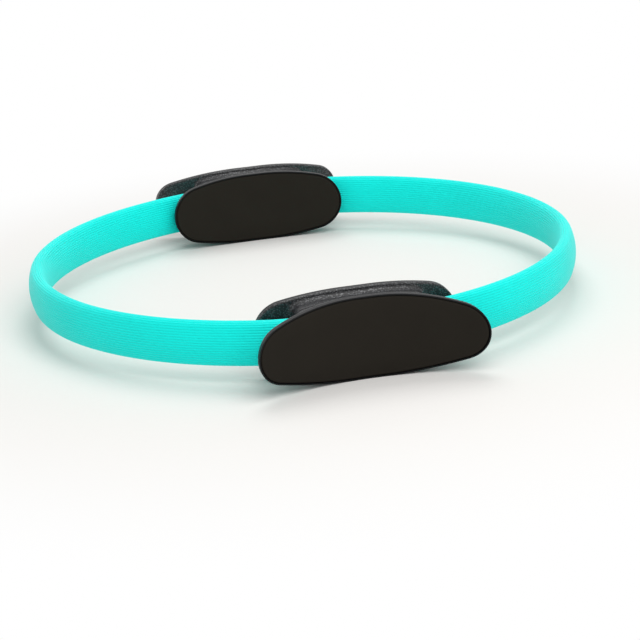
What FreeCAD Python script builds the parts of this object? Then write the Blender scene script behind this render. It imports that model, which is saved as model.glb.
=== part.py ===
import FreeCAD
import Part
import Sketcher
import math
import os
import re

from FreeCAD import Placement, Rotation, Vector

# A pilates ring: two flat spring strips bent to a hoop, a foam sleeve over each, and two padded handles.
# The hoop lies flat, its centre is the origin, and the handles stand on the Y axis.
# Each strip runs straight where a handle clamps it, then bends into the round part of the hoop.

SIZES = {
    # hoop, along the middle of the strips
    "hoop_radius": 170.0,
    "straight_run": 1.0,
    "bend_radius": 40.0,
    "strip_width": 20.0,
    "strip_thickness": 3.0,
    "strip_end_gap": 3.0,
    # foam sleeve, an oval of four arcs over the strip
    "foam_above": 3.5,
    "foam_beside": 4.5,
    "sleeve_edge_radius": 4.2,
    "sleeve_clearance": 0.3,
    # handle plates, hollow on the face that is pressed
    "handle_depth": 25.0,
    "plate_height": 49.0,
    "plate_thickness": 4.5,
    "flat_length": 12.0,
    "outer_length": 134.0,
    "outer_taper": 7.2,
    "outer_face_radius": 121.0,
    "inner_length": 121.0,
    "inner_taper": 4.0,
    "inner_face_radius": 245.0,
    "face_edge_radius": 0.4,
    "back_edge_radius": 1.0,
    # foam pad and the recess that it is glued into
    "recess_depth": 3.0,
    "rim_width": 0.9,
    "pad_gap": 0.2,
    "pad_proud": 0.3,
    "pad_edge_radius": 0.8,
    # saddle, half on each shell, that wraps the hoop
    "saddle_length": 78.0,
    "saddle_step": 4.0,
    "saddle_corner_radius": 6.0,
    "saddle_root_radius": 3.2,
    "saddle_land": 0.15,
    "socket_depth": 6.0,
    "strip_clearance": 0.15,
    # pins through the strip ends
    "pin_diameter": 4.0,
    "pin_setback": 7.0,
    "pin_pitch": 13.0,
    "pin_end_wall": 2.0,
    "fit_clearance": 0.05,
    # screws that hold the two shells together
    "screw_diameter": 3.0,
    "screw_setback": 11.0,
    "screw_tip": 1.5,
    "screw_tip_room": 1.2,
    "screw_end_wall": 1.1,
    "screw_head_diameter": 5.6,
    "screw_head_height": 2.0,
    "screw_head_clearance": 0.2,
    "screw_sunk": 0.15,
    # length by which a cutting profile passes what it cuts
    "overrun": 5.0,
}

# Sizes that follow from the ones above.
FORMULAS = {
    "saddle_half": "saddle_length / 2",
    "saddle_height": "plate_height - 2 * saddle_step",
    # the rounding at the saddle's root is no wider than the step beside it
    "root_radius": "min(saddle_root_radius; saddle_step - back_edge_radius - saddle_land)",
    # the strip stays straight just past the saddle, and the sleeve ends in a socket there
    "straight_half": "saddle_half + straight_run",
    "bend_reach": "sqrt((hoop_radius - bend_radius)^2 - straight_half^2)",
    "seat": "bend_reach + bend_radius",
    "sleeve_start": "saddle_half - socket_depth",
    "sleeve_height": "strip_width + 2 * foam_above",
    "sleeve_width": "strip_thickness + 2 * foam_beside",
    "sleeve_edge_rise": "sleeve_height / 2 - sleeve_edge_radius",
    "sleeve_side_radius": "((sleeve_width / 2)^2 + sleeve_edge_rise^2 - sleeve_edge_radius^2)"
    " / (sleeve_width - 2 * sleeve_edge_radius)",
    "outer_centre": "seat + handle_depth / 2 + outer_face_radius",
    "inner_centre": "seat - handle_depth / 2 - inner_face_radius",
    # pins between the sleeve end and the middle, as long as the plates' floors allow
    "floor_depth": "handle_depth / 2 - recess_depth",
    "pin_far": "sleeve_start - pin_setback",
    "pin_near": "pin_far - pin_pitch",
    "pin_length": "2 * (floor_depth - pin_end_wall)",
    # screws half way between the strip's edge and the saddle's, from one bent floor to the other
    "screw_along": "sleeve_start - screw_setback",
    "screw_up": "(strip_width + saddle_height) / 4",
    "screw_near": "screw_along - screw_head_diameter / 2",
    "screw_seat": "floor_depth + inner_floor_bow - screw_head_height - screw_sunk",
    "screw_hole_depth": "floor_depth + outer_floor_bow - screw_end_wall",
    "screw_length": "screw_seat + screw_hole_depth - screw_tip_room",
}
for role in ("outer", "inner"):
    floor = f"({role}_face_radius + recess_depth)"
    FORMULAS[f"{role}_floor_bow"] = f"{floor} - sqrt({floor}^2 - screw_near^2)"
    # a plate's round ends, and the long arcs that join them to its flat edges
    FORMULAS[f"{role}_end_radius"] = f"plate_height / 2 - {role}_taper"
    FORMULAS[f"{role}_end_reach"] = f"{role}_length / 2 - {role}_end_radius"
    FORMULAS[f"{role}_shoulder_radius"] = (
        f"(({role}_end_reach - flat_length / 2)^2 + (plate_height / 2)^2 - {role}_end_radius^2)"
        f" / (2 * {role}_taper)"
    )

# Each sub-part is drawn at the back or on the right, and its twin is turned half way round the hoop's axis.
TURNS = {"back": 0, "front": 180, "right": 0, "left": 180}
# The sketcher's numbers for the points of an edge and for the two axes.
START, END, CENTRE = range(1, 4)
ACROSS, UPWARD = range(-1, -3, -1)
QUARTER = math.pi / 2

doc = FreeCAD.newDocument("pilates_ring")
sheet = doc.addObject("Spreadsheet::Sheet", "sizes")
cells = {alias: str(number) for alias, number in SIZES.items()}
cells.update({alias: "=" + formula for alias, formula in FORMULAS.items()})
for row, (alias, text) in enumerate(cells.items(), start=1):
    sheet.set(f"A{row}", alias)
    sheet.set(f"B{row}", text)
    sheet.setAlias(f"B{row}", alias)
doc.recompute()


def value(expression):
    """The number that an expression in the sheet's sizes comes to."""
    return float(sheet.evalExpression(expression))


def on_sheet(expression):
    """The expression with the sheet's name before each size, as other objects write it."""
    return re.sub(r"[a-z_]+", lambda word: "sizes." + word[0] if word[0] in cells else word[0], expression)


def bind(feature, name, expression):
    feature.setExpression(name, on_sheet(expression))


def new_body(place, name):
    body = doc.addObject("PartDesign::Body", f"{place}_{name}")
    body.Label = f"{place}_{name}"
    body.Placement = Placement(Vector(0, 0, 0), Rotation(Vector(0, 0, 1), TURNS[place]))
    return body


def origin_plane(body, role):
    return next(plane for plane in body.Origin.OriginFeatures if plane.Role == role)


def new_sketch(body, role, name, lift=None):
    """A sketch on one of the body's own planes, raised along that plane's normal."""
    sketch = body.newObject("Sketcher::SketchObject", name)
    sketch.AttachmentSupport = [(origin_plane(body, role), "")]
    sketch.MapMode = "FlatFace"
    if lift:
        bind(sketch, "AttachmentOffset.Base.z", lift)
    return sketch


def tie(sketch, kind, *places_and_size):
    """A dimension of the sketch that follows the sheet."""
    *places, expression = places_and_size
    index = sketch.addConstraint(Sketcher.Constraint(kind, *places, value(expression)))
    bind(sketch, f"Constraints[{index}]", expression)


def join(sketch, kind, *places):
    sketch.addConstraint(Sketcher.Constraint(kind, *places))


def add_line(sketch, x0, y0, x1, y1):
    return sketch.addGeometry(Part.LineSegment(Vector(x0, y0, 0), Vector(x1, y1, 0)))


def add_arc(sketch, x, y, radius, first, last):
    circle = Part.Circle(Vector(x, y, 0), Vector(0, 0, 1), radius)
    return sketch.addGeometry(Part.ArcOfCircle(circle, first, last))


def draw_circle(sketch, x, y, radius):
    """A circle whose centre and radius are expressions."""
    circle = Part.Circle(Vector(value(x), value(y), 0), Vector(0, 0, 1), value(radius))
    edge = sketch.addGeometry(circle)
    tie(sketch, "DistanceX", edge, CENTRE, x)
    tie(sketch, "DistanceY", edge, CENTRE, y)
    tie(sketch, "Radius", edge, radius)


def draw_rectangle(sketch, left, right, low, high):
    """A rectangle whose four sides lie where the expressions say."""
    x0, x1, y0, y1 = value(left), value(right), value(low), value(high)
    bottom = add_line(sketch, x0, y0, x1, y0)
    side = add_line(sketch, x1, y0, x1, y1)
    top = add_line(sketch, x1, y1, x0, y1)
    other = add_line(sketch, x0, y1, x0, y0)
    ring = [bottom, side, top, other]
    for edge, following in zip(ring, ring[1:] + ring[:1]):
        join(sketch, "Coincident", edge, END, following, START)
    for edge in (bottom, top):
        join(sketch, "Horizontal", edge)
    for edge in (side, other):
        join(sketch, "Vertical", edge)
    tie(sketch, "DistanceX", bottom, START, left)
    tie(sketch, "DistanceX", bottom, END, right)
    tie(sketch, "DistanceY", bottom, START, low)
    tie(sketch, "DistanceY", top, START, high)


def draw_hoop_path(sketch, start):
    """The right half of the hoop: straight seat, bend, round part, bend, straight seat."""
    seat, reach = value("seat"), value("bend_reach")
    straight, bend = value("straight_half"), value("bend_radius")
    radius, first = value("hoop_radius"), value(start)
    turn = math.atan2(reach, straight)
    back = add_line(sketch, first, seat, straight, seat)
    back_bend = add_arc(sketch, straight, reach, bend, turn, QUARTER)
    main = add_arc(sketch, 0, 0, radius, -turn, turn)
    front_bend = add_arc(sketch, straight, -reach, bend, -QUARTER, -turn)
    front = add_line(sketch, straight, -seat, first, -seat)
    join(sketch, "Tangent", back, END, back_bend, END)
    join(sketch, "Tangent", back_bend, START, main, END)
    join(sketch, "Tangent", main, START, front_bend, END)
    join(sketch, "Tangent", front_bend, START, front, START)
    join(sketch, "Coincident", main, CENTRE, ACROSS, START)
    join(sketch, "Equal", back_bend, front_bend)
    tie(sketch, "Radius", main, "hoop_radius")
    tie(sketch, "Radius", back_bend, "bend_radius")
    for edge in (back, front):
        join(sketch, "Horizontal", edge)
    tie(sketch, "DistanceX", back, START, start)
    tie(sketch, "DistanceX", back, END, "straight_half")
    tie(sketch, "DistanceX", front, START, "straight_half")
    tie(sketch, "DistanceX", front, END, start)


def draw_oval(sketch, grow):
    """The sleeve's oval across the hoop, made larger all round by an expression."""
    seat, rise, more = value("seat"), value("sleeve_edge_rise"), value(grow)
    edge_radius = value("sleeve_edge_radius") + more
    side_radius = value("sleeve_side_radius") + more
    side_reach = side_radius - value("sleeve_width") / 2 - more
    lean = math.atan2(rise, side_reach)
    top = add_arc(sketch, seat, rise, edge_radius, lean, math.pi - lean)
    outside = add_arc(sketch, seat - side_reach, 0, side_radius, -lean, lean)
    bottom = add_arc(sketch, seat, -rise, edge_radius, math.pi + lean, 2 * math.pi - lean)
    inside = add_arc(sketch, seat + side_reach, 0, side_radius, math.pi - lean, math.pi + lean)
    join(sketch, "Tangent", top, START, outside, END)
    join(sketch, "Tangent", outside, START, bottom, END)
    join(sketch, "Tangent", bottom, START, inside, END)
    join(sketch, "Tangent", inside, START, top, END)
    for arc, sign in ((top, ""), (bottom, "-")):
        tie(sketch, "DistanceX", arc, CENTRE, "seat")
        tie(sketch, "DistanceY", arc, CENTRE, f"{sign}sleeve_edge_rise")
        tie(sketch, "Radius", arc, f"sleeve_edge_radius + {grow}")
    for arc in (outside, inside):
        tie(sketch, "Radius", arc, f"sleeve_side_radius + {grow}")


def draw_shoulders(sketch, role, inset, turn):
    """Flat top and bottom of a plate's outline moved in by an expression, and the long arcs beside them."""
    half, flat, back = value("plate_height / 2"), value("flat_length / 2"), value(inset)
    shoulder = value(f"{role}_shoulder_radius")
    drop = shoulder - half
    level, radius = half - back, shoulder - back
    top = add_line(sketch, -flat, level, flat, level)
    right_top = add_arc(sketch, flat, -drop, radius, turn, QUARTER)
    right_low = add_arc(sketch, flat, drop, radius, -QUARTER, -turn)
    bottom = add_line(sketch, flat, -level, -flat, -level)
    left_low = add_arc(sketch, -flat, drop, radius, math.pi + turn, 3 * QUARTER)
    left_top = add_arc(sketch, -flat, -drop, radius, QUARTER, math.pi - turn)
    join(sketch, "Tangent", top, END, right_top, END)
    join(sketch, "Tangent", right_low, START, bottom, START)
    join(sketch, "Tangent", bottom, END, left_low, END)
    join(sketch, "Tangent", left_top, START, top, START)
    for line, first, sign in ((top, "-", ""), (bottom, "", "-")):
        join(sketch, "Horizontal", line)
        tie(sketch, "DistanceX", line, START, f"{first}flat_length / 2")
        tie(sketch, "DistanceX", line, END, f"{sign}flat_length / 2")
        tie(sketch, "DistanceY", line, START, f"{sign}(plate_height / 2 - ({inset}))")
    return right_top, right_low, left_low, left_top


def draw_outline(sketch, role, inset):
    """A plate's outline moved in by an expression: flat top and bottom, long shoulder arcs, round ends."""
    radius, reach = value(f"{role}_end_radius - ({inset})"), value(f"{role}_end_reach")
    drop = value(f"{role}_shoulder_radius - plate_height / 2")
    turn = math.atan2(drop, reach - value("flat_length / 2"))
    right_top, right_low, left_low, left_top = draw_shoulders(sketch, role, inset, turn)
    right = add_arc(sketch, reach, 0, radius, -turn, turn)
    left = add_arc(sketch, -reach, 0, radius, math.pi - turn, math.pi + turn)
    join(sketch, "Tangent", right_top, START, right, END)
    join(sketch, "Tangent", right, START, right_low, END)
    join(sketch, "Tangent", left_low, START, left, END)
    join(sketch, "Tangent", left, START, left_top, END)
    for arc, sign in ((right, ""), (left, "-")):
        join(sketch, "PointOnObject", arc, CENTRE, ACROSS)
        tie(sketch, "DistanceX", arc, CENTRE, f"{sign}{role}_end_reach")
        tie(sketch, "Radius", arc, f"{role}_end_radius - ({inset})")


def draw_saddle(sketch, role):
    """The saddle along the handle's axis: a step inside the plate's outline, with upright ends."""
    side, corner = value("saddle_half"), value("saddle_corner_radius")
    corner_path = value(f"{role}_shoulder_radius - saddle_step") - corner
    drop = value(f"{role}_shoulder_radius - plate_height / 2")
    reach = side - corner - value("flat_length / 2")
    high = math.sqrt(corner_path**2 - reach**2)
    turn, up, across = math.atan2(high, reach), high - drop, side - corner
    shoulders = draw_shoulders(sketch, role, "saddle_step", turn)
    right_top, right_low, left_low, left_top = shoulders
    right_high = add_arc(sketch, across, up, corner, 0, turn)
    right_deep = add_arc(sketch, across, -up, corner, -turn, 0)
    left_high = add_arc(sketch, -across, up, corner, math.pi - turn, math.pi)
    left_deep = add_arc(sketch, -across, -up, corner, math.pi, math.pi + turn)
    right = add_line(sketch, side, up, side, -up)
    left = add_line(sketch, -side, -up, -side, up)
    join(sketch, "Tangent", right_top, START, right_high, END)
    join(sketch, "Tangent", right_high, START, right, START)
    join(sketch, "Tangent", right, END, right_deep, END)
    join(sketch, "Tangent", right_deep, START, right_low, END)
    join(sketch, "Tangent", left_low, START, left_deep, END)
    join(sketch, "Tangent", left_deep, START, left, START)
    join(sketch, "Tangent", left, END, left_high, END)
    join(sketch, "Tangent", left_high, START, left_top, END)
    for arc in shoulders:
        tie(sketch, "Radius", arc, f"{role}_shoulder_radius - saddle_step")
    for arc in (right_high, right_deep, left_high, left_deep):
        tie(sketch, "Radius", arc, "saddle_corner_radius")
    for line, sign in ((right, ""), (left, "-")):
        join(sketch, "Vertical", line)
        tie(sketch, "DistanceX", line, START, f"{sign}saddle_half")


def plan_arc(sketch, role, radius, half):
    """An arc about the axis that a plate is bent round, reaching half to each side."""
    spread = math.asin(half / radius)
    if role == "outer":
        return add_arc(sketch, 0, value("outer_centre"), radius, -QUARTER - spread, -QUARTER + spread)
    return add_arc(sketch, 0, value("inner_centre"), radius, QUARTER - spread, QUARTER + spread)


def tie_plan_arc(sketch, role, arc, radius):
    join(sketch, "PointOnObject", arc, CENTRE, UPWARD)
    tie(sketch, "DistanceY", arc, CENTRE, f"{role}_centre")
    tie(sketch, "Radius", arc, radius)


def arc_ends(role):
    """Which end of a plan arc lies on the left and which on the right."""
    return (START, END) if role == "outer" else (END, START)


def draw_band(sketch, role, near, far):
    """A plate seen from above, between two radii about the axis that it is bent round."""
    half = f"{role}_length / 2 + overrun"
    reach = value(half)
    left, right = arc_ends(role)
    face = plan_arc(sketch, role, value(near), reach)
    back = plan_arc(sketch, role, value(far), reach)
    for end, sign in ((left, "-"), (right, "")):
        near_point = sketch.getPoint(face, end)
        far_point = sketch.getPoint(back, end)
        edge = add_line(sketch, near_point.x, near_point.y, far_point.x, far_point.y)
        join(sketch, "Coincident", edge, START, face, end)
        join(sketch, "Coincident", edge, END, back, end)
        join(sketch, "Vertical", edge)
        tie(sketch, "DistanceX", edge, START, f"{sign}({half})")
    tie_plan_arc(sketch, role, face, near)
    tie_plan_arc(sketch, role, back, far)


def pad_up(body, sketch, name, length):
    """A pad to both sides of a sketch that lies in the plane of the hoop."""
    pad = body.newObject("PartDesign::Pad", name)
    pad.Profile = sketch
    pad.SideType = "Symmetric"
    bind(pad, "Length", length)
    return pad


def cut(body, sketch, name, depth=None, backward=False):
    """A pocket to a depth, or right through, that must take something away."""
    before = body.Shape.Volume
    pocket = body.newObject("PartDesign::Pocket", name)
    pocket.Profile = sketch
    pocket.Reversed = backward
    if depth:
        bind(pocket, "Length", depth)
    else:
        pocket.Type = "ThroughAll"
    doc.recompute()
    if body.Shape.Volume >= before:
        raise RuntimeError(f"{body.Label}: {name} cuts nothing")
    return pocket


def round_edges(body, base, edges, name, radius):
    names = [f"Edge{i}" for i, e in enumerate(base.Shape.Edges, start=1) if any(e.isSame(x) for x in edges)]
    fillet = body.newObject("PartDesign::Fillet", name)
    fillet.Base = (base, names)
    bind(fillet, "Radius", radius)
    doc.recompute()
    return fillet


def bent_face(shape, radius):
    """The largest face of a shape that is bent to a radius."""
    bent = [face for face in shape.Faces if isinstance(face.Surface, Part.Cylinder)]
    return max((face for face in bent if same(face.Surface.Radius, radius)), key=lambda face: face.Area)


def same(one, other):
    return math.isclose(one, other, abs_tol=FreeCAD.Base.Precision.confusion())


def build_strip(place):
    """A flat strip bent to half the hoop, drilled for the pins at both ends."""
    body = new_body(place, "spring_strip")
    start = "strip_end_gap / 2"
    path = new_sketch(body, "XY_Plane", "strip_path")
    draw_hoop_path(path, start)
    section = new_sketch(body, "YZ_Plane", "strip_section", start)
    half = "strip_thickness / 2"
    draw_rectangle(section, f"seat - {half}", f"seat + {half}", "-strip_width / 2", "strip_width / 2")
    strip = body.newObject("PartDesign::AdditivePipe", "strip")
    strip.Profile = section
    strip.Spine = (path, [])
    doc.recompute()
    holes = new_sketch(body, "XZ_Plane", "pin_holes", "hoop_radius")
    for along in ("pin_near", "pin_far"):
        draw_circle(holes, along, "0", "pin_diameter / 2 + fit_clearance")
    cut(body, holes, "drilled_ends")
    return body


def build_sleeve(place):
    """An oval foam tube over one strip, bored for it, with its cut ends inside the saddles."""
    body = new_body(place, "foam_sleeve")
    path = new_sketch(body, "XY_Plane", "sleeve_path")
    draw_hoop_path(path, "sleeve_start")
    section = new_sketch(body, "YZ_Plane", "sleeve_section", "sleeve_start")
    draw_oval(section, "0")
    bore = new_sketch(body, "YZ_Plane", "bore_section", "sleeve_start")
    thick = "(strip_thickness / 2 + sleeve_clearance)"
    high = "(strip_width / 2 + sleeve_clearance)"
    draw_rectangle(bore, f"seat - {thick}", f"seat + {thick}", f"-{high}", high)
    for kind, name, profile in (("Additive", "tube", section), ("Subtractive", "bored_tube", bore)):
        pipe = body.newObject(f"PartDesign::{kind}Pipe", name)
        pipe.Profile = profile
        pipe.Spine = (path, [])
        doc.recompute()
    return body


def trim_to_outline(body, role, name, inset):
    """Cuts a bent plate to its outline, seen along the handle's axis."""
    sketch = new_sketch(body, "XZ_Plane", name)
    wide = f"({role}_length / 2 + 2 * overrun)"
    high = "(plate_height / 2 + 2 * overrun)"
    draw_rectangle(sketch, f"-{wide}", wide, f"-{high}", high)
    draw_outline(sketch, role, inset)
    return cut(body, sketch, f"{name}_cut")


def build_pad(place, role):
    """A foam sheet bent to the plate, with a rounded edge, glued into the recess."""
    body = new_body(place, f"{role}_pad")
    face_radius = f"{role}_face_radius - pad_proud"
    band = new_sketch(body, "XY_Plane", "pad_plan")
    draw_band(band, role, face_radius, f"{role}_face_radius + recess_depth")
    pad_up(body, band, "sheet", "plate_height + overrun")
    doc.recompute()
    trimmed = trim_to_outline(body, role, "pad_outline", "rim_width + pad_gap")
    face = bent_face(trimmed.Shape, value(face_radius))
    round_edges(body, trimmed, face.OuterWire.Edges, "soft_edge", "pad_edge_radius")
    return body


def build_shell(place, role):
    """A moulded half of a handle: rimmed plate, half a saddle, seats for strips, sleeves, pins, screws."""
    body = new_body(place, f"{role}_shell")
    inward = role == "inner"
    face_radius = f"{role}_face_radius"
    floor_radius = f"{role}_face_radius + recess_depth"
    back_radius = f"{role}_face_radius + plate_thickness"

    # rim round the pad, then the floor behind it
    rim_plan = new_sketch(body, "XY_Plane", "rim_plan")
    draw_band(rim_plan, role, face_radius, floor_radius)
    pad_up(body, rim_plan, "rim", "plate_height + overrun")
    doc.recompute()
    recess = new_sketch(body, "XZ_Plane", "recess_outline")
    draw_outline(recess, role, "rim_width")
    cut(body, recess, "recess")
    floor_plan = new_sketch(body, "XY_Plane", "floor_plan")
    draw_band(floor_plan, role, floor_radius, back_radius)
    pad_up(body, floor_plan, "floor", "plate_height + overrun")
    doc.recompute()
    trim_to_outline(body, role, "plate_outline", "0")

    # half of the saddle, from the parting to the plate's back
    saddle_outline = new_sketch(body, "XZ_Plane", "saddle_outline", "-seat")
    draw_saddle(saddle_outline, role)
    saddle = body.newObject("PartDesign::Pad", "saddle")
    saddle.Profile = saddle_outline
    saddle.Reversed = not inward
    saddle.Type = "UpToFirst"
    doc.recompute()

    # moulded roundings: saddle root, back of the plate, face of the rim
    back = bent_face(saddle.Shape, value(back_radius))
    root = [e for wire in back.Wires if not wire.isSame(back.OuterWire) for e in wire.Edges]
    rooted = round_edges(body, saddle, root, "saddle_root", "root_radius")
    back = bent_face(rooted.Shape, value(back_radius))
    backed = round_edges(body, rooted, back.OuterWire.Edges, "back_edge", "back_edge_radius")
    face = bent_face(backed.Shape, value(face_radius))
    round_edges(body, backed, face.OuterWire.Edges, "face_edge", "face_edge_radius")

    # channel for the two strips, with a stop between their ends
    channel = new_sketch(body, "XZ_Plane", "channel_outline", "-seat")
    high = "(strip_width / 2 + strip_clearance)"
    stop, far = "(strip_end_gap / 2 - strip_clearance)", "(saddle_half + overrun)"
    draw_rectangle(channel, stop, far, f"-{high}", high)
    draw_rectangle(channel, f"-{far}", f"-{stop}", f"-{high}", high)
    cut(body, channel, "channel", "strip_thickness / 2 + strip_clearance", inward)

    # sockets for the sleeve ends
    for name, lift, backward in (("right", "", True), ("left", "-", False)):
        bottom = f"{lift}(sleeve_start - sleeve_clearance)"
        socket = new_sketch(body, "YZ_Plane", f"{name}_socket_outline", bottom)
        draw_oval(socket, "sleeve_clearance")
        cut(body, socket, f"{name}_socket", "socket_depth + overrun", backward)

    # blind holes for the pins
    pins = new_sketch(body, "XZ_Plane", "pin_seats", "-seat")
    for sign in ("", "-"):
        for along in ("pin_near", "pin_far"):
            draw_circle(pins, f"{sign}{along}", "0", "pin_diameter / 2 + fit_clearance")
    cut(body, pins, "pin_holes", "pin_length / 2 + strip_clearance", inward)

    # screw holes: through the inner shell with sunk heads, blind in the outer one
    screws = new_sketch(body, "XZ_Plane", "screw_seats", "-seat")
    draw_screw_circles(screws, "screw_diameter / 2 + fit_clearance")
    depth = None if inward else "screw_hole_depth"
    cut(body, screws, "screw_holes", depth, inward)
    if inward:
        heads = new_sketch(body, "XZ_Plane", "head_seats", "-(seat - screw_seat)")
        draw_screw_circles(heads, "screw_head_diameter / 2 + screw_head_clearance")
        cut(body, heads, "head_holes", backward=True)
    return body


def draw_screw_circles(sketch, radius):
    for across in ("", "-"):
        for up in ("", "-"):
            draw_circle(sketch, f"{across}screw_along", f"{up}screw_up", radius)


def build_pins(place):
    """Four steel pins that hold the strip ends between the two shells."""
    body = new_body(place, "strip_pins")
    circles = new_sketch(body, "XZ_Plane", "pin_circles", "-seat")
    for sign in ("", "-"):
        for along in ("pin_near", "pin_far"):
            draw_circle(circles, f"{sign}{along}", "0", "pin_diameter / 2")
    pad_up(body, circles, "pins", "pin_length")
    return body


def build_screws(place):
    """Four screws, heads towards the middle of the ring, turned from one profile and mirrored."""
    body = new_body(place, "shell_screws")
    profile = new_sketch(body, "XY_Plane", "screw_profile", "screw_up")
    axis = "screw_along"
    seat = "(seat - screw_seat)"
    corners = [
        (axis, f"{seat} - screw_head_height"),
        (f"{axis} + screw_head_diameter / 2", f"{seat} - screw_head_height"),
        (f"{axis} + screw_head_diameter / 2", seat),
        (f"{axis} + screw_diameter / 2", seat),
        (f"{axis} + screw_diameter / 2", f"{seat} + screw_length - screw_tip"),
        (axis, f"{seat} + screw_length"),
    ]
    edges = []
    for (x0, y0), (x1, y1) in zip(corners, corners[1:] + corners[:1]):
        edges.append(add_line(profile, value(x0), value(y0), value(x1), value(y1)))
    for edge, following, (x, y) in zip(edges, edges[1:] + edges[:1], corners):
        join(profile, "Coincident", edge, END, following, START)
        tie(profile, "DistanceX", edge, START, x)
        tie(profile, "DistanceY", edge, START, y)
    spine = add_line(profile, value(axis), 0, value(axis), value("seat"))
    profile.toggleConstruction(spine)
    join(profile, "PointOnObject", spine, START, ACROSS)
    join(profile, "Vertical", spine)
    tie(profile, "DistanceX", spine, START, axis)
    tie(profile, "DistanceY", spine, END, "seat")
    screw = body.newObject("PartDesign::Revolution", "screw")
    screw.Profile = profile
    screw.ReferenceAxis = (profile, ["Axis0"])
    doc.recompute()
    for name, role in (("pair", "YZ_Plane"), ("set_of_four", "XY_Plane")):
        copies = body.newObject("PartDesign::Mirrored", name)
        copies.TransformMode = "Whole shape"
        copies.MirrorPlane = (origin_plane(body, role), [""])
        body.Tip = copies
        doc.recompute()
    return body


bodies = []
for side in ("left", "right"):
    bodies.append(build_strip(side))
    bodies.append(build_sleeve(side))
for handle in ("front", "back"):
    for role in ("outer", "inner"):
        bodies.append(build_shell(handle, role))
        bodies.append(build_pad(handle, role))
    bodies.append(build_pins(handle))
    bodies.append(build_screws(handle))
doc.recompute()

failed = [item.Name for item in doc.Objects if {"Invalid", "Error"} & set(item.State)]
failed += [body.Label for body in bodies if body.Shape.isNull() or not body.Shape.isValid()]
if failed:
    raise RuntimeError(f"could not build {failed}")

os.makedirs("parts", exist_ok=True)
for body in bodies:
    body.Shape.exportStep(f"parts/{body.Label}.step")
    print(f"{body.Label}: {len(body.Shape.Solids)} solids, {body.Shape.Volume:.0f} mm3")
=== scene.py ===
import math

import bmesh
import bpy
from mathutils import Matrix, Vector


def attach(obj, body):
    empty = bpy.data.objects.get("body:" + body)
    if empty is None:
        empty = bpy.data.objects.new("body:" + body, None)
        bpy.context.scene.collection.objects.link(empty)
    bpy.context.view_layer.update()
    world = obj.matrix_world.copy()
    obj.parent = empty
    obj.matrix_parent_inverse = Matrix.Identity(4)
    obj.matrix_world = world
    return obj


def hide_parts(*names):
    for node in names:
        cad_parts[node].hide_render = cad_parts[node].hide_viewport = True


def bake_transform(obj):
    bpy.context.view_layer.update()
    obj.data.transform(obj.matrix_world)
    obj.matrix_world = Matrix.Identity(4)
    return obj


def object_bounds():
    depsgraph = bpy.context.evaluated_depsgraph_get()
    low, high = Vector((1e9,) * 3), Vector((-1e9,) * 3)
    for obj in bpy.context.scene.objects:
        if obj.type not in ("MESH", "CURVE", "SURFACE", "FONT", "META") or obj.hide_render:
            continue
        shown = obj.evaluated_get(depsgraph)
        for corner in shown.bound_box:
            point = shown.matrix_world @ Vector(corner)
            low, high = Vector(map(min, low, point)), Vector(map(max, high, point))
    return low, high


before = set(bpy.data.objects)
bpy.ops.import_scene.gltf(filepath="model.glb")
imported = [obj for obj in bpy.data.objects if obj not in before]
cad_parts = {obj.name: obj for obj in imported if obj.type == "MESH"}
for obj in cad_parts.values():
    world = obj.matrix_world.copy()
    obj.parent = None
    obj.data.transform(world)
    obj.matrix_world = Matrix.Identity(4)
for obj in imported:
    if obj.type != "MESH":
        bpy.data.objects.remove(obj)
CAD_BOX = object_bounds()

bl_info = {
    "name": "Pilates ring",
    "version": (1, 0, 0),
    "blender": (4, 5, 0),
    "location": "3D View > Sidebar > Pilates Ring",
    "description": "Ribbed foam sleeves, foam pads and grained handles for a pilates ring, and its studio",
    "category": "Object",
}

MM = 0.001
QUARTER = math.pi / 2
# The hoop's sides, its handles and a handle's plates, with the way that each lies.
SIDES = {"left": -1, "right": 1}
HANDLES = {"front": -1, "back": 1}
PLATES = {"outer": 1, "inner": -1}


def linear(code):
    """A colour written as an sRGB hex value, as the linear numbers that shaders take."""
    channels = [int(code[i : i + 2], 16) / 255 for i in (0, 2, 4)]
    return tuple(c / 12.92 if c <= 0.04045 else ((c + 0.055) / 1.055) ** 2.4 for c in channels)


def length(name, description, default):
    return bpy.props.FloatProperty(
        name=name, description=description, default=default, precision=5, subtype="DISTANCE", unit="LENGTH"
    )


def colour(name, description, code):
    return bpy.props.FloatVectorProperty(
        name=name, description=description, default=linear(code), min=0, max=1, size=3, subtype="COLOR"
    )


def amount(name, description, default):
    return bpy.props.FloatProperty(name=name, description=description, default=default, min=0)


def angle(name, description, degrees):
    return bpy.props.FloatProperty(
        name=name, description=description, default=math.radians(degrees), subtype="ANGLE", unit="ROTATION"
    )


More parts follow.
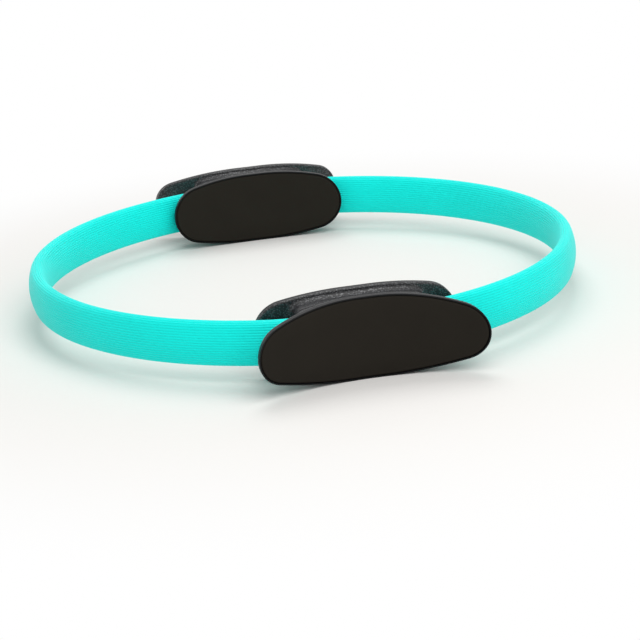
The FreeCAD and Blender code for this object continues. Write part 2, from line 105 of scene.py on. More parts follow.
class RingHoopSettings(bpy.types.PropertyGroup):
    """Sizes and colours of the spring strips and their foam sleeves."""

    hoop_radius: length("Hoop radius", "Middle of the strip to the centre of the hoop", 170 * MM)
    straight_half: length("Straight half", "Straight run of a strip from the middle of a handle", 40 * MM)
    bend_radius: length("Bend radius", "Bend between the straight run and the round part", 40 * MM)
    strip_width: length("Strip width", "Height of the spring strip as the hoop lies", 20 * MM)
    strip_thickness: length("Strip thickness", "Thickness of the spring strip", 3 * MM)
    strip_start: length("Strip start", "End of a strip from the middle of the handle", 1.5 * MM)
    strip_corner: length("Strip corner", "Bevel along the edges of a strip", 0.3 * MM)
    pin_near: length("Near pin", "Inner pin hole from the middle of the handle", 13 * MM)
    pin_far: length("Far pin", "Outer pin hole from the middle of the handle", 26 * MM)
    pin_hole_radius: length("Pin hole radius", "Holes in the ends of a strip", 2.05 * MM)
    sleeve_start: length("Sleeve start", "End of a sleeve from the middle of the handle", 33 * MM)
    sleeve_height: length("Sleeve height", "Height of the foam oval", 27 * MM)
    sleeve_width: length("Sleeve width", "Width of the foam oval", 12 * MM)
    sleeve_edge_radius: length("Sleeve edge radius", "Rounding at the top and bottom of the oval", 4.2 * MM)
    sleeve_clearance: length("Sleeve clearance", "Room between the strip and the foam", 0.3 * MM)
    rib_pitch: length("Rib pitch", "From one rib of the foam to the next", 1.55 * MM)
    rib_depth: length("Rib depth", "Depth of the grooves between the ribs", 0.34 * MM)
    ring_step: length("Step", "Length of the mesh faces along the hoop", 4 * MM)
    grip_end: length("Grip end", "How far from the middle of a handle the hoop stays still in it", 34 * MM)
    still_angle: angle("Still angle", "Turn from a handle to where the hoop neither sinks nor bows out", 52)
    foam_colour: colour("Foam", "Colour of the foam sleeves", "02ECE3")
    strip_colour: colour("Glass fibre", "Colour of the spring strips", "D8D3BD")


class RingHandleSettings(bpy.types.PropertyGroup):
    """Sizes and colours of the handles' pads, shells and fasteners."""

    plate_height: length("Plate height", "Height of a handle plate", 49 * MM)
    flat_length: length("Flat length", "Straight part of a plate's top and bottom edge", 12 * MM)
    outer_length: length("Outer length", "Length of the outer plate", 134 * MM)
    outer_taper: length("Outer taper", "Drop from the flat edge to the round end", 7.2 * MM)
    outer_face_radius: length("Outer face radius", "Hollow of the outer plate", 121 * MM)
    inner_length: length("Inner length", "Length of the inner plate", 121 * MM)
    inner_taper: length("Inner taper", "Drop from the flat edge to the round end", 4 * MM)
    inner_face_radius: length("Inner face radius", "Hollow of the inner plate", 245 * MM)
    handle_depth: length("Handle depth", "From one pressed face to the other at the middle", 25 * MM)
    recess_depth: length("Recess depth", "Depth of the seat that a pad is glued into", 3 * MM)
    pad_inset: length("Pad inset", "Edge of the plate to the edge of the pad", 1.1 * MM)
    pad_proud: length("Pad proud", "How far a pad stands out of its recess", 0.3 * MM)
    pad_roll: length("Pad roll", "Rounding of a pad's edge", 1.6 * MM)
    pad_crown: length("Pad crown", "Extra height of a pad away from its edge", 0.5 * MM)
    crown_width: length("Crown width", "Width over which a pad rises to its crown", 9 * MM)
    pad_colour: colour("Pad foam", "Colour of the foam pads", "23201B")
    shell_colour: colour("Shell", "Colour of the moulded shells", "151618")
    steel_colour: colour("Zinc", "Colour of the pins and screws", "C9CACB")


class RingStageSettings(bpy.types.PropertyGroup):
    """Camera, light and floor."""

    view_azimuth: angle("Azimuth", "Turn of the camera round the ring", -11.55)
    view_elevation: angle("Elevation", "Height of the camera above the floor's plane", 17.4)
    view_roll: angle("Roll", "Tilt of the camera about its own axis", 4.2)
    view_distance: length("Distance", "Camera to the plane of the ring's centre", 1322 * MM)
    view_right: length("Right", "Ring's centre from the camera's axis, to the right", -11.6 * MM)
    view_up: length("Up", "Ring's centre from the camera's axis, upwards", 38.9 * MM)
    lens: amount("Lens", "Focal length in millimetres", 114.9)
    floor_half: length("Floor half", "Half the width of the floor", 6000 * MM)
    paper_near: length("Paper reach", "Distance out to which the floor shows its own paper", 215 * MM)
    paper_far: length("White from", "Distance from which the floor is plain white", 430 * MM)
    sky: amount("Sky", "Strength of the light from all round", 0.55)
    top_power: amount("Top lamp", "Power of the high lamp in watts", 5.0)
    top_size: length("Top size", "Width of the high lamp", 750 * MM)
    top_distance: length("Top distance", "Ring's centre to the high lamp", 1300 * MM)
    top_azimuth: angle("Top azimuth", "Turn of the high lamp round the ring", 170)
    top_elevation: angle("Top elevation", "Height of the high lamp above the floor's plane", 65)
    front_power: amount("Front lamp", "Power of the lamp beside the camera in watts", 17.0)
    front_size: length("Front size", "Width of the lamp beside the camera", 1500 * MM)
    front_distance: length("Front distance", "Ring's centre to the lamp beside the camera", 1700 * MM)
    front_azimuth: angle("Front azimuth", "Turn of the front lamp round the ring", 12)
    front_elevation: angle("Front elevation", "Height of the front lamp above the floor's plane", 52)
    paper_colour: colour("Paper", "Colour of the floor", "EAE8E5")


def add_node(tree, kind, inputs=None, **settings):
    """Adds a node with its settings, and sets or links its inputs."""
    made = tree.nodes.new(kind)
    for name, setting in settings.items():
        setattr(made, name, setting)
    for key, given in (inputs or {}).items():
        if isinstance(given, bpy.types.NodeSocket):
            tree.links.new(given, made.inputs[key])
        else:
            made.inputs[key].default_value = given
    return made


def new_material(name):
    """A material and its empty tree."""
    material = bpy.data.materials.new(name)
    material.use_nodes = True
    material.node_tree.nodes.clear()
    return material, material.node_tree


def show_surface(tree, inputs):
    """Ends a material's tree with the principled shader, given its inputs, and the output."""
    shader = add_node(tree, "ShaderNodeBsdfPrincipled", inputs)
    add_node(tree, "ShaderNodeOutputMaterial", {"Surface": shader.outputs["BSDF"]})


def shades(tree, factor, base, dark_share, light_share):
    """The base colour, darker and lighter by shares as the factor runs from 0 to 1."""
    ramp = add_node(tree, "ShaderNodeValToRGB", {"Fac": factor})
    for stop, share in zip(ramp.color_ramp.elements, (dark_share, light_share)):
        stop.color = [min(1, c * share) for c in base] + [1]
    return ramp.outputs["Color"]


def per_metre(size):
    """The texture scale that makes one cell of a pattern as large as a size."""
    return 1 / size


def sleeve_foam(base):
    """Extruded closed-cell NBR foam: a soft bright skin, slightly mottled, paler where seen aslant."""
    cell, mottle = 0.9 * MM, 35 * MM
    material, tree = new_material("extruded_nbr_foam")
    place = add_node(tree, "ShaderNodeTexCoord").outputs["Object"]
    cloud = add_node(
        tree, "ShaderNodeTexNoise", {"Vector": place, "Scale": per_metre(mottle), "Detail": 3.0}
    ).outputs["Fac"]
    # the real cells are about 0.2 mm wide, drawn coarser so that they show
    cells = add_node(
        tree, "ShaderNodeTexNoise", {"Vector": place, "Scale": per_metre(cell), "Detail": 2.0}
    ).outputs["Fac"]
    bump = add_node(tree, "ShaderNodeBump", {"Height": cells, "Strength": 0.1, "Distance": 0.03 * MM})
    rough = add_node(tree, "ShaderNodeMapRange", {"Value": cells, "To Min": 0.4, "To Max": 0.52})
    show_surface(
        tree,
        {
            "Base Color": shades(tree, cloud, base, 0.95, 1.04),
            "Roughness": rough.outputs["Result"],
            "Normal": bump.outputs["Normal"],
            "IOR": 1.47,
            "Specular IOR Level": 0.13,
            "Sheen Weight": 0.12,
        },
    )
    return material


def pad_foam(base):
    """Closed-cell EVA sheet with a sawn skin: dead matt charcoal with a faint cloudiness."""
    cell, mottle = 0.7 * MM, 22 * MM
    material, tree = new_material("closed_cell_eva_sheet")
    place = add_node(tree, "ShaderNodeTexCoord").outputs["Object"]
    cloud = add_node(
        tree, "ShaderNodeTexNoise", {"Vector": place, "Scale": per_metre(mottle), "Detail": 4.0}
    ).outputs["Fac"]
    # the real cells are about 0.15 mm wide, drawn coarser so that they show
    cells = add_node(
        tree, "ShaderNodeTexVoronoi", {"Vector": place, "Scale": per_metre(cell)}, feature="SMOOTH_F1"
    ).outputs["Distance"]
    grit = add_node(
        tree, "ShaderNodeTexNoise", {"Vector": place, "Scale": per_metre(cell), "Detail": 3.0}
    ).outputs["Fac"]
    blend = add_node(tree, "ShaderNodeMath", {0: cloud, 1: grit}, operation="ADD")
    half = add_node(tree, "ShaderNodeMath", {0: blend.outputs[0], 1: 0.5}, operation="MULTIPLY")
    bump = add_node(tree, "ShaderNodeBump", {"Height": cells, "Strength": 0.3, "Distance": 0.06 * MM})
    rough = add_node(tree, "ShaderNodeMapRange", {"Value": grit, "To Min": 0.78, "To Max": 0.92})
    show_surface(
        tree,
        {
            "Base Color": shades(tree, half.outputs[0], base, 0.78, 1.22),
            "Roughness": rough.outputs["Result"],
            "Normal": bump.outputs["Normal"],
            "IOR": 1.46,
            "Specular IOR Level": 0.12,
        },
    )
    return material


def behind_face(tree, place, axis, radius):
    """How far a point of a shell lies behind the pressed face, which is bent about an upright axis."""
    spot = add_node(tree, "ShaderNodeSeparateXYZ", {"Vector": place}).outputs
    away = add_node(tree, "ShaderNodeMath", {0: spot["Y"]}, operation="ABSOLUTE").outputs[0]
    flat = add_node(tree, "ShaderNodeCombineXYZ", {"X": spot["X"], "Y": away}).outputs["Vector"]
    reach = add_node(tree, "ShaderNodeVectorMath", {0: flat, 1: (0, axis, 0)}, operation="DISTANCE")
    return add_node(
        tree, "ShaderNodeMath", {0: reach.outputs["Value"], 1: radius}, operation="SUBTRACT"
    ).outputs[0]


def shell_plastic(plate, base, axis, radius):
    """ABS from a spark-eroded mould: near black, with a leathery grain that glitters, its crests painted
    lighter as a painted highlight, and smooth rims.
    """
    grain, rim, fade = 1.1 * MM, 3 * MM, 1 * MM
    material, tree = new_material(f"moulded_grained_abs_{plate}")
    place = add_node(tree, "ShaderNodeTexCoord").outputs["Object"]
    depth = behind_face(tree, place, axis, radius)
    grained = add_node(
        tree, "ShaderNodeMapRange", {"Value": depth, "From Min": rim, "From Max": rim + fade}
    ).outputs["Result"]
    # the real grain is about 0.2 mm wide, drawn coarser so that it shows
    middles = add_node(
        tree, "ShaderNodeTexVoronoi", {"Vector": place, "Scale": per_metre(grain)}
    ).outputs["Distance"]
    # the crests of the grain catch the light, and the valleys between them are shaded; in the base colour
    # this is painted light: a painted highlight on the crests and painted shade in the valleys
    crest = add_node(
        tree, "ShaderNodeMapRange", {"Value": middles, "From Min": 0.5, "From Max": 0.2, "To Max": grained}
    ).outputs["Result"]
    bump = add_node(tree, "ShaderNodeBump", {"Height": crest, "Strength": 1.0, "Distance": 0.06 * MM})
    rough = add_node(tree, "ShaderNodeMapRange", {"Value": crest, "To Min": 0.42, "To Max": 0.25})
    valley = add_node(tree, "ShaderNodeMapRange", {"Value": grained, "To Min": 0.12, "To Max": 0.42})
    shine = add_node(
        tree, "ShaderNodeMapRange", {"Value": crest, "To Min": valley.outputs["Result"], "To Max": 1.0}
    )
    show_surface(
        tree,
        {
            # painted highlight and painted shade: the base colour runs from 0.8 times itself in the valleys
            # to 5 times itself on the crests
            "Base Color": shades(tree, crest, base, 0.8, 5.0),
            "Roughness": rough.outputs["Result"],
            "Normal": bump.outputs["Normal"],
            "IOR": 1.53,
            "Specular IOR Level": shine.outputs["Result"],
        },
    )
    return material


def glass_fibre(base):
    """Pultruded glass fibre: pale resin with fine streaks of fibre along the strip and a hard gloss."""
    streak_width, streak_length = 0.5 * MM, 60 * MM
    material, tree = new_material("pultruded_glass_fibre")
    place = add_node(tree, "ShaderNodeAttribute", attribute_name="strip_place").outputs["Vector"]
    squeeze = (per_metre(streak_length), per_metre(streak_width), per_metre(streak_width))
    stretched = add_node(
        tree, "ShaderNodeVectorMath", {0: place, 1: squeeze}, operation="MULTIPLY"
    ).outputs["Vector"]
    streaks = add_node(
        tree, "ShaderNodeTexNoise", {"Vector": stretched, "Scale": 1.0, "Detail": 3.0}
    ).outputs["Fac"]
    bump = add_node(tree, "ShaderNodeBump", {"Height": streaks, "Strength": 0.3, "Distance": 0.03 * MM})
    rough = add_node(tree, "ShaderNodeMapRange", {"Value": streaks, "To Min": 0.25, "To Max": 0.45})
    show_surface(
        tree,
        {
            "Base Color": shades(tree, streaks, base, 0.8, 1.1),
            "Roughness": rough.outputs["Result"],
            "Normal": bump.outputs["Normal"],
            "IOR": 1.55,
        },
    )
    return material


def zinc_steel(base):
    """Turned steel with a zinc plate: a pale grey metal with a slightly cloudy gloss."""
    spangle = 1.2 * MM
    material, tree = new_material("zinc_plated_steel")
    place = add_node(tree, "ShaderNodeTexCoord").outputs["Object"]
    cloud = add_node(
        tree, "ShaderNodeTexNoise", {"Vector": place, "Scale": per_metre(spangle), "Detail": 3.0}
    ).outputs["Fac"]
    rough = add_node(tree, "ShaderNodeMapRange", {"Value": cloud, "To Min": 0.22, "To Max": 0.42})
    show_surface(
        tree,
        {
            "Base Color": shades(tree, cloud, base, 0.85, 1.05),
            "Roughness": rough.outputs["Result"],
            "Metallic": 1.0,
        },
    )
    return material


class HoopPath:
    """Middle line of one quarter of the hoop, from the middle of a handle to the middle of a side."""

    def __init__(self, hoop):
        self.straight = hoop.straight_half
        self.bend = hoop.bend_radius
        self.radius = hoop.hoop_radius
        self.reach = math.sqrt((self.radius - self.bend) ** 2 - self.straight**2)
        self.seat = self.reach + self.bend
        self.turn = math.atan2(self.straight, self.reach)
        self.bend_end = self.straight + self.bend * self.turn
        self.still = self.length_to(hoop.still_angle)
        self.end = self.length_to(QUARTER)

    def length_to(self, turned):
        """How far along the line the round part has turned by an angle."""
        return self.bend_end + self.radius * (turned - self.turn)

    def at(self, along):
        """The line's point, and the angle by which it has turned."""
        if along <= self.straight:
            return along, self.seat, 0.0
        if along <= self.bend_end:
            turned = (along - self.straight) / self.bend
            return (
                self.straight + self.bend * math.sin(turned),
                self.reach + self.bend * math.cos(turned),
                turned,
            )
        turned = self.turn + (along - self.bend_end) / self.radius
        return self.radius * math.sin(turned), self.radius * math.cos(turned), turned

    def stations(self, first, last, step):
        """Lengths along the line from first to last, no further apart than the step."""
        count = math.ceil((last - first) / step)
        return [first + (last - first) * i / count for i in range(count + 1)]


def ribbed_oval(hoop):
    """Outline of the foam across the hoop: an oval of four arcs with rounded ribs all round."""
    faces_per_rib = 6
    # below 1, this makes the ribs full and the grooves narrow
    fullness = 0.6
    half, rise = hoop.sleeve_width / 2, hoop.sleeve_height / 2 - hoop.sleeve_edge_radius
    edge = hoop.sleeve_edge_radius
    side = (half**2 + rise**2 - edge**2) / (2 * (half - edge))
    reach = side - half
    lean = math.atan2(rise, reach)
    arcs = [
        (-reach, 0, side, -lean, 2 * lean),
        (0, rise, edge, lean, math.pi - 2 * lean),
        (reach, 0, side, math.pi - lean, 2 * lean),
        (0, -rise, edge, math.pi + lean, math.pi - 2 * lean),
    ]
    around = sum(radius * swept for _, _, radius, _, swept in arcs)
    ribs = round(around / hoop.rib_pitch)
    points = []
    for i in range(ribs * faces_per_rib):
        groove = hoop.rib_depth * (1 - math.sin(math.pi * (i % faces_per_rib) / faces_per_rib) ** fullness)
        rest = around * i / (ribs * faces_per_rib)
        for across, up, radius, start, swept in arcs:
            if rest <= radius * swept:
                break
            rest -= radius * swept
        turned = start + rest / radius
        points.append(
            (across + (radius - groove) * math.cos(turned), up + (radius - groove) * math.sin(turned))
        )
    return points


def bevelled_rectangle(width, height, bevel):
    """A rectangle with cut corners about the middle of the strip."""
    x, z = width / 2, height / 2
    corner = [(x, z - bevel), (x - bevel, z)]
    points = corner + [(-px, pz) for px, pz in reversed(corner)]
    return points + [(-px, -pz) for px, pz in points]


def sweep(name, path, lengths, side, end, outline, bore=None):
    """A closed solid along a quarter of the hoop, with an outline across it and a bore right through."""
    mesh = bmesh.new()
    place = mesh.verts.layers.float_vector.new("strip_place")
    ends = []
    for section in filter(None, (outline, bore)):
        rings = []
        for along in lengths:
            x, y, turned = path.at(along)
            ring = []
            for out, up in section:
                aside, away = x + out * math.sin(turned), y + out * math.cos(turned)
                vert = mesh.verts.new((side * aside, end * away, up))
                vert[place] = (along, out, up)
                ring.append(vert)
            rings.append(ring)
        for ring, following in zip(rings, rings[1:]):
            for i in range(len(ring)):
                mesh.faces.new((ring[i - 1], ring[i], following[i], following[i - 1]))
        ends.append((rings[0], rings[-1]))
    for loops in zip(*ends):
        edges = [mesh.edges.get((loop[i - 1], loop[i])) for loop in loops for i in range(len(loop))]
        bmesh.ops.triangle_fill(mesh, edges=edges, use_beauty=True)
    bmesh.ops.recalc_face_normals(mesh, faces=mesh.faces)
    return new_object(name, mesh)


def new_object(name, mesh):
    """An object of a built mesh, smooth except at its sharp edges."""
    sharp = math.radians(50)
    data = bpy.data.meshes.new(name)
    mesh.to_mesh(data)
    mesh.free()
    data.shade_smooth()
    data.set_sharp_from_angle(angle=sharp)
    obj = bpy.data.objects.new(name, data)
    bpy.context.scene.collection.objects.link(obj)
    return obj


def hoop_pieces(path, start):
    """Side, handle and span of each piece of the hoop, and the lengths that it runs from and to."""
    for side in SIDES:
        for end in HANDLES:
            yield side, end, "grip", start, path.still
            yield side, end, "bow", path.still, path.end


def follow_quarter(obj, path, span):
    """Bakes one piece of a quarter into its mesh where it lies, the grip and the bow alike."""
    x, y, _ = path.at(path.still)
    if span == "grip":
        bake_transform(obj)
    else:
        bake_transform(obj)


def dress(obj, material):
    obj.data.materials.clear()
    obj.data.materials.append(material)


class RING_OT_sleeves(bpy.types.Operator):
    """Make the ribbed foam sleeves, in quarters"""

    bl_idname = "pilates_ring.sleeves"
    bl_label = "Foam Sleeves"

    def execute(self, context):
        hoop = context.scene.ring_hoop
        path = HoopPath(hoop)
        outline = ribbed_oval(hoop)
        room = 2 * hoop.sleeve_clearance
        bore = bevelled_rectangle(hoop.strip_thickness + room, hoop.strip_width + room, hoop.strip_corner)
        foam = sleeve_foam(hoop.foam_colour)
        for side, end, span, first, last in hoop_pieces(path, hoop.sleeve_start):
            lengths = path.stations(first, last, hoop.ring_step)
            name = f"{side}_{end}_sleeve_{span}"
            sleeve = sweep(name, path, lengths, SIDES[side], HANDLES[end], outline, bore)
            dress(sleeve, foam)
            follow_quarter(sleeve, path, span)
            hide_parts(f"{side}_foam_sleeve")
        return {"FINISHED"}


def drill(obj, hoop, path, side, end):
    """Cuts the pin holes through the end of a strip."""
    corners_round = 32
    tool = bmesh.new()
    for along in (hoop.pin_near, hoop.pin_far):
        spot = Matrix.Translation((SIDES[side] * along, HANDLES[end] * path.seat, 0))
        bmesh.ops.create_cone(
            tool,
            cap_ends=True,
            segments=corners_round,
            radius1=hoop.pin_hole_radius,
            radius2=hoop.pin_hole_radius,
            depth=2 * hoop.strip_thickness,
            matrix=spot @ Matrix.Rotation(QUARTER, 4, "X"),
        )
    cutter = new_object("strip_drill", tool)
    holes = obj.modifiers.new("pin_holes", "BOOLEAN")
    holes.object = cutter
    holes.solver = "EXACT"
    drilled = bpy.data.meshes.new_from_object(obj.evaluated_get(bpy.context.evaluated_depsgraph_get()))
    obj.modifiers.clear()
    obj.data = drilled
    bpy.data.objects.remove(cutter)


class RING_OT_strips(bpy.types.Operator):
    """Make the spring strips inside the sleeves, in quarters"""

    bl_idname = "pilates_ring.strips"
    bl_label = "Spring Strips"

    def execute(self, context):
        hoop = context.scene.ring_hoop
        path = HoopPath(hoop)
        outline = bevelled_rectangle(hoop.strip_thickness, hoop.strip_width, hoop.strip_corner)
        fibre = glass_fibre(hoop.strip_colour)
        for side, end, span, first, last in hoop_pieces(path, hoop.strip_start):
            lengths = path.stations(first, last, hoop.ring_step)
            name = f"{side}_{end}_strip_{span}"
            strip = sweep(name, path, lengths, SIDES[side], HANDLES[end], outline)
            if span == "grip":
                drill(strip, hoop, path, side, end)
            dress(strip, fibre)
            follow_quarter(strip, path, span)
            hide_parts(f"{side}_spring_strip")
        return {"FINISHED"}


def bend_axis(handle, plate, seat):
    """Where the upright axis lies that a plate is bent about, and the radius of its pressed face."""
    radius = getattr(handle, f"{plate}_face_radius")
    return seat + PLATES[plate] * (handle.handle_depth / 2 + radius), radius


def plate_outline(handle, plate):
    """Points of a plate's outline and the way out from each: flats, long shoulder arcs and round ends."""
    flat_steps, shoulder_steps, end_steps = 8, 20, 24
    half, flat = handle.plate_height / 2, handle.flat_length / 2
    taper = getattr(handle, f"{plate}_taper")
    end_radius = half - taper
    end_reach = getattr(handle, f"{plate}_length") / 2 - end_radius
    shoulder = ((end_reach - flat) ** 2 + half**2 - end_radius**2) / (2 * taper)
    drop = shoulder - half
    turn = math.atan2(end_reach - flat, drop)
    quarter = [(flat * i / flat_steps, half, 0.0) for i in range(flat_steps)]
    for x, z, radius, first, last, steps in (
        (flat, -drop, shoulder, 0.0, turn, shoulder_steps),
        (end_reach, 0.0, end_radius, turn, QUARTER, end_steps),
    ):
        for i in range(steps):
            lean = first + (last - first) * i / steps
            quarter.append((x + radius * math.sin(lean), z + radius * math.cos(lean), lean))
    tip = (end_reach + end_radius, 0.0, QUARTER)
    upper = quarter + [tip] + [(x, -z, math.pi - lean) for x, z, lean in reversed(quarter)]
    points = upper + [(-x, z, -lean) for x, z, lean in reversed(upper[1:-1])]
    return end_reach, [(x, z, math.sin(lean), math.cos(lean)) for x, z, lean in points]


def pad_rings(handle, plate):
    """Rings of points across a pad, from its glued edge over the rolled edge to its middle line."""
    roll_steps, crown_steps, middle_steps = 6, 8, 6
    thick = handle.recess_depth + handle.pad_proud
    reach, outline = plate_outline(handle, plate)
    levels = [(0.0, 0.0)]
    for i in range(roll_steps + 1):
        lean = QUARTER * i / roll_steps
        levels.append(
            (handle.pad_roll * (1 - math.cos(lean)), thick - handle.pad_roll * (1 - math.sin(lean)))
        )
    for i in range(1, crown_steps + 1):
        share = i / crown_steps
        rise = handle.pad_crown * (1 - (1 - share) ** 2)
        levels.append((handle.pad_roll + handle.crown_width * share, thick + rise))
    rings = []
    for inset, height in levels:
        away = handle.pad_inset + inset
        rings.append([(x - away * nx, z - away * nz, height) for x, z, nx, nz in outline])
    edge = rings[-1]
    for i in range(1, middle_steps + 1):
        share = i / middle_steps
        rings.append(
            [
                (x + (max(-reach, min(reach, x)) - x) * share, z * (1 - share), height)
                for x, z, height in edge
            ]
        )
    return rings


class RING_OT_pads(bpy.types.Operator):
    """Make the foam pads with their rolled edges, bent to the plates"""

    bl_idname = "pilates_ring.pads"
    bl_label = "Foam Pads"

    def execute(self, context):
        handle = context.scene.ring_handle
        seat = HoopPath(context.scene.ring_hoop).seat
        foam = pad_foam(handle.pad_colour)
        for end, turn in HANDLES.items():
            for plate in PLATES:
                pad = self.bent_pad(handle, plate, seat, turn, f"{end}_{plate}_foam_pad")
                dress(pad, foam)
                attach(pad, f"{end}_handle")
                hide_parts(f"{end}_{plate}_pad")
        return {"FINISHED"}

    def bent_pad(self, handle, plate, seat, turn, name):
        """One pad, its back on the recess floor, bent about the same axis as the plate."""
        out = PLATES[plate]
        axis, face_radius = bend_axis(handle, plate, seat)
        floor_radius = face_radius + handle.recess_depth
        merge = 0.01 * MM
        front = pad_rings(handle, plate)
        back = [[(x, z, 0.0) for x, z, _ in ring] for ring in front[-1:0:-1]]
        mesh = bmesh.new()
        rings = []
        for ring in back + front:
            verts = []
            for x, z, height in ring:
                y = axis - out * math.sqrt((floor_radius - height) ** 2 - x**2)
                verts.append(mesh.verts.new((turn * x, turn * y, z)))
            rings.append(verts)
        for ring, following in zip(rings, rings[1:]):
            for i in range(len(ring)):
                mesh.faces.new((ring[i - 1], ring[i], following[i], following[i - 1]))
        bmesh.ops.remove_doubles(mesh, verts=mesh.verts, dist=merge)
        bmesh.ops.recalc_face_normals(mesh, faces=mesh.faces)
        return new_object(name, mesh)


class RING_OT_shells(bpy.types.Operator):
    """Give the handle shells their grained plastic"""

    bl_idname = "pilates_ring.shells"
    bl_label = "Handle Shells"

    def execute(self, context):
        handle = context.scene.ring_handle
        seat = HoopPath(context.scene.ring_hoop).seat
        for plate in PLATES:
            plastic = shell_plastic(plate, handle.shell_colour, *bend_axis(handle, plate, seat))
            for end in HANDLES:
                dress(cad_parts[f"{end}_{plate}_shell"], plastic)
        return {"FINISHED"}


class RING_OT_fasteners(bpy.types.Operator):
    """Give the pins and screws their zinc plate"""

    bl_idname = "pilates_ring.fasteners"
    bl_label = "Pins and Screws"

    def execute(self, context):
        zinc = zinc_steel(context.scene.ring_handle.steel_colour)
        for end in HANDLES:
            for name in ("strip_pins", "shell_screws"):
                dress(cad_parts[f"{end}_{name}"], zinc)
        return {"FINISHED"}


def white_to_eye(tree):
    """1 for what the eye sees straight or mirrored, and 0 for light that falls on things."""
    path = add_node(tree, "ShaderNodeLightPath").outputs
    return add_node(
        tree, "ShaderNodeMath", {0: path["Is Camera Ray"], 1: path["Is Glossy Ray"]}, operation="MAXIMUM"
    ).outputs[0]


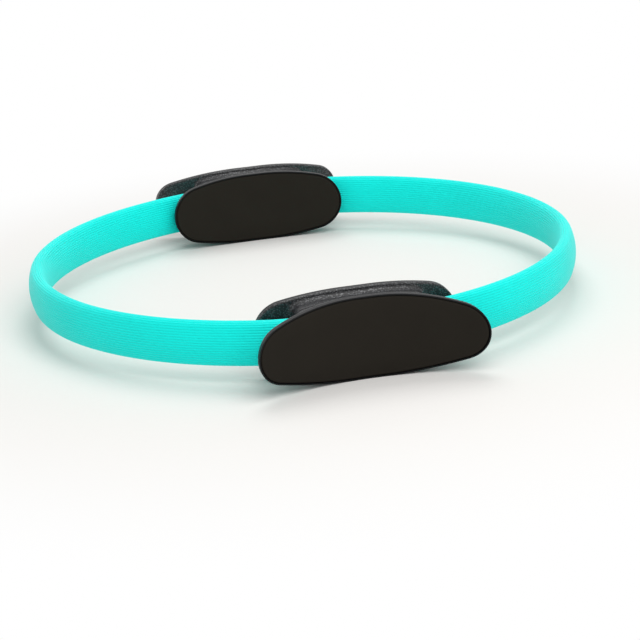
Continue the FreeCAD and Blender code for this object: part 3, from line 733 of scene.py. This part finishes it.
class RING_OT_stage(bpy.types.Operator):
    """Make the paper floor, the light and the camera"""

    bl_idname = "pilates_ring.stage"
    bl_label = "Stage"

    def execute(self, context):
        stage = context.scene.ring_stage
        self.make_floor(stage, CAD_BOX[0].z)
        self.make_light(context.scene, stage)
        self.make_camera(context.scene, stage)
        context.scene.view_settings.view_transform = "Standard"
        return {"FINISHED"}

    def make_floor(self, stage, level):
        """Matt white paper under the ring, which fades to plain white further out."""
        mesh = bmesh.new()
        bmesh.ops.create_grid(mesh, x_segments=1, y_segments=1, size=stage.floor_half)
        floor = new_object("paper_floor", mesh)
        floor.location.z = level
        material, tree = new_material("matt_white_paper")
        fibre = 3 * MM
        place = add_node(tree, "ShaderNodeTexCoord").outputs["Object"]
        grain = add_node(
            tree, "ShaderNodeTexNoise", {"Vector": place, "Scale": per_metre(fibre), "Detail": 3.0}
        ).outputs["Fac"]
        paper = add_node(
            tree,
            "ShaderNodeBsdfPrincipled",
            {
                "Base Color": shades(tree, grain, stage.paper_colour, 0.99, 1.01),
                "Roughness": 0.9,
                "Specular IOR Level": 0.1,
            },
        )
        out = add_node(tree, "ShaderNodeVectorMath", {0: place}, operation="LENGTH").outputs["Value"]
        fade = add_node(
            tree,
            "ShaderNodeMapRange",
            {"Value": out, "From Min": stage.paper_near, "From Max": stage.paper_far},
            interpolation_type="SMOOTHSTEP",
        ).outputs["Result"]
        white = add_node(tree, "ShaderNodeEmission", {"Strength": 1.0})
        share = add_node(tree, "ShaderNodeMath", {0: fade, 1: white_to_eye(tree)}, operation="MULTIPLY")
        mixed = add_node(
            tree,
            "ShaderNodeMixShader",
            {"Fac": share.outputs[0], 1: paper.outputs["BSDF"], 2: white.outputs["Emission"]},
        )
        add_node(tree, "ShaderNodeOutputMaterial", {"Surface": mixed.outputs["Shader"]})
        dress(floor, material)

    def make_light(self, scene, stage):
        """Even light from all round, one large soft lamp high up behind the ring and one in front."""
        world = bpy.data.worlds.new("white_studio")
        world.use_nodes = True
        tree = world.node_tree
        tree.nodes.clear()
        sky = add_node(
            tree,
            "ShaderNodeMapRange",
            {"Value": white_to_eye(tree), "To Min": stage.sky, "To Max": 1.0},
        ).outputs["Result"]
        glow = add_node(tree, "ShaderNodeBackground", {"Color": (1, 1, 1, 1), "Strength": sky})
        add_node(tree, "ShaderNodeOutputWorld", {"Surface": glow.outputs["Background"]})
        scene.world = world
        for name in ("top", "front"):
            self.add_softbox(scene, stage, name)

    def add_softbox(self, scene, stage, name):
        """A large square lamp that faces the ring's centre."""
        power, size, distance, azimuth, elevation = (
            getattr(stage, f"{name}_{key}")
            for key in ("power", "size", "distance", "azimuth", "elevation")
        )
        lamp = bpy.data.lights.new(f"{name}_softbox", "AREA")
        lamp.energy = power
        lamp.size = size
        facing = Matrix.Rotation(azimuth, 3, "Z") @ Matrix.Rotation(QUARTER - elevation, 3, "X")
        softbox = bpy.data.objects.new(lamp.name, lamp)
        softbox.matrix_world = Matrix.LocRotScale(facing @ Vector((0, 0, distance)), facing, None)
        scene.collection.objects.link(softbox)

    def make_camera(self, scene, stage):
        """A camera that sees the ring from where the photograph was taken."""
        sensor = 36.0
        turn = Matrix.Rotation(stage.view_azimuth, 3, "Z")
        tilt = Matrix.Rotation(QUARTER - stage.view_elevation, 3, "X")
        roll = Matrix.Rotation(-stage.view_roll, 3, "Z")
        facing = turn @ tilt @ roll
        camera = bpy.data.objects.new("camera", bpy.data.cameras.new("camera"))
        camera.data.sensor_width = sensor
        camera.data.lens = stage.lens
        away = Vector((-stage.view_right, -stage.view_up, stage.view_distance))
        camera.matrix_world = Matrix.LocRotScale(facing @ away, facing, None)
        scene.collection.objects.link(camera)
        scene.camera = camera


PARTS = (RING_OT_sleeves, RING_OT_strips, RING_OT_pads, RING_OT_shells, RING_OT_fasteners, RING_OT_stage)
SETTINGS = {
    "ring_hoop": RingHoopSettings,
    "ring_handle": RingHandleSettings,
    "ring_stage": RingStageSettings,
}


class RING_PT_panel(bpy.types.Panel):
    """Lists the ring's pieces and settings"""

    bl_idname = "RING_PT_panel"
    bl_label = "Pilates Ring"
    bl_space_type = "VIEW_3D"
    bl_region_type = "UI"
    bl_category = "Pilates Ring"

    def draw(self, context):
        for part in PARTS:
            self.layout.operator(part.bl_idname)
        for group in SETTINGS:
            settings = getattr(context.scene, group)
            box = self.layout.box()
            for name in settings.__annotations__:
                box.prop(settings, name)


CLASSES = (*SETTINGS.values(), *PARTS, RING_PT_panel)


def register():
    for cls in CLASSES:
        bpy.utils.register_class(cls)
    for name, group in SETTINGS.items():
        setattr(bpy.types.Scene, name, bpy.props.PointerProperty(type=group))


def unregister():
    for name in SETTINGS:
        delattr(bpy.types.Scene, name)
    for cls in reversed(CLASSES):
        bpy.utils.unregister_class(cls)


def main():
    register()
    bpy.ops.pilates_ring.sleeves()
    bpy.ops.pilates_ring.strips()
    bpy.ops.pilates_ring.pads()
    bpy.ops.pilates_ring.shells()
    bpy.ops.pilates_ring.fasteners()
    bpy.ops.pilates_ring.stage()


if __name__ == "__main__":
    main()
